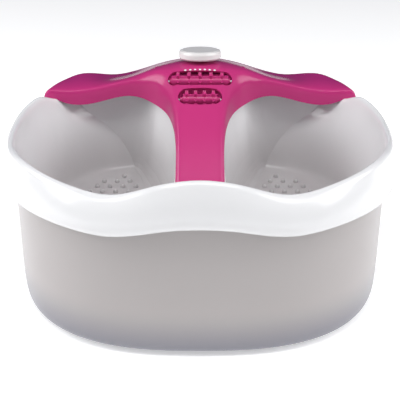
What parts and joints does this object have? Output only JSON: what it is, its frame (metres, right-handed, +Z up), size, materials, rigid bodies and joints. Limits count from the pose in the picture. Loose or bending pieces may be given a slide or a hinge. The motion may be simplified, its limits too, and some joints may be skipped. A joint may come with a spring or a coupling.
{
  "type": "pedicure foot bath",
  "caption": "Electric pedicure foot bath with a wavy-rimmed tub, nubbed foot wells, a T-shaped console with a mode knob and massage rollers.",
  "frame": {"origin": "on the ground under the middle of the bounding box", "axes": "+X to the user's right, +Y away from the user towards the console, +Z up"},
  "size_m": [0.3941, 0.349, 0.2036],
  "materials": {
    "white_abs": "glossy moulded ABS, bright white",
    "shell_abs": "glossy moulded ABS, pearly light grey",
    "magenta_abs": "glossy moulded ABS, magenta",
    "pin_steel": "ground stainless steel pin",
    "zinc_steel": "zinc-plated pressed steel",
    "weight_brass": "sintered brass",
    "heater_aluminium": "rolled aluminium sheet",
    "heater_steel": "annealed steel sheath",
    "motor_can": "drawn steel can",
    "inner_plastic": "natural nylon, matt",
    "black_plastic": "black nylon, matt",
    "hose_silicone": "translucent silicone",
    "lead_pvc": "grey PVC insulation",
    "rubber": "black moulded rubber"
  },
  "bodies": {
    "root": {"air_chamber_left": "inner_plastic", "air_chamber_right": "inner_plastic", "air_hose_left": "hose_silicone", "air_hose_right": "hose_silicone", "back_left_foot": "rubber", "back_right_foot": "rubber", "base_screws": "zinc_steel", "basin": "white_abs", "blower_housing": "inner_plastic", "blower_lead": "lead_pvc", "blower_lid": "inner_plastic", "blower_motor": "motor_can", "bracket_screws": "zinc_steel", "cable_grommet": "rubber", "console_cover": "magenta_abs", "console_screws": "zinc_steel", "cord_gland": "black_plastic", "front_axle": "pin_steel", "front_left_foot": "rubber", "front_right_foot": "rubber", "gland_nut": "black_plastic", "heater_plate_left": "heater_aluminium", "heater_plate_right": "heater_aluminium", "heater_tube_left": "heater_steel", "heater_tube_right": "heater_steel", "motor_bracket": "zinc_steel", "motor_strap": "zinc_steel", "outer_shell": "shell_abs", "rear_axle": "pin_steel", "roller_cradle": "magenta_abs", "shaft_seal": "rubber", "shaker_lead": "lead_pvc", "supply_lead": "lead_pvc", "switch_body": "black_plastic", "switch_bracket": "zinc_steel", "switch_lead": "lead_pvc", "switch_nut": "zinc_steel", "terminal_block": "inner_plastic", "thermal_fuse": "inner_plastic", "thermostat": "black_plastic", "vibration_motor": "motor_can"},
    "knob": {"mode_knob": "white_abs", "knob_spindle": "inner_plastic"},
    "rear_roller": {"rear_roller": "magenta_abs"},
    "front_roller": {"front_roller": "magenta_abs"},
    "shaker_rotor": {"shaker_shaft": "pin_steel", "eccentric_weight": "weight_brass"},
    "blower_rotor": {"blower_shaft": "pin_steel", "impeller": "inner_plastic"}
  },
  "joints": [
    {"name": "knob_turn", "type": "hinge", "parent": "root", "child": "knob", "pos_m": [0, 0.128, 0.1908], "axis": [0, 0.1736, 0.9848], "range_deg": [-135, 0]},
    {"name": "rear_roller_spin", "type": "hinge", "parent": "root", "child": "rear_roller", "pos_m": [0, 0.09126, 0.17801], "axis": [1, 0, 0], "continuous": true},
    {"name": "front_roller_spin", "type": "hinge", "parent": "root", "child": "front_roller", "pos_m": [0, 0.06674, 0.16719], "axis": [1, 0, 0], "continuous": true},
    {"name": "shaker_spin", "type": "hinge", "parent": "root", "child": "shaker_rotor", "pos_m": [0, -0.062, 0.025], "axis": [1, 0, 0], "continuous": true},
    {"name": "blower_spin", "type": "hinge", "parent": "root", "child": "blower_rotor", "pos_m": [0.088, -0.02, 0.035], "axis": [0, 0, 1], "continuous": true}
  ]
}
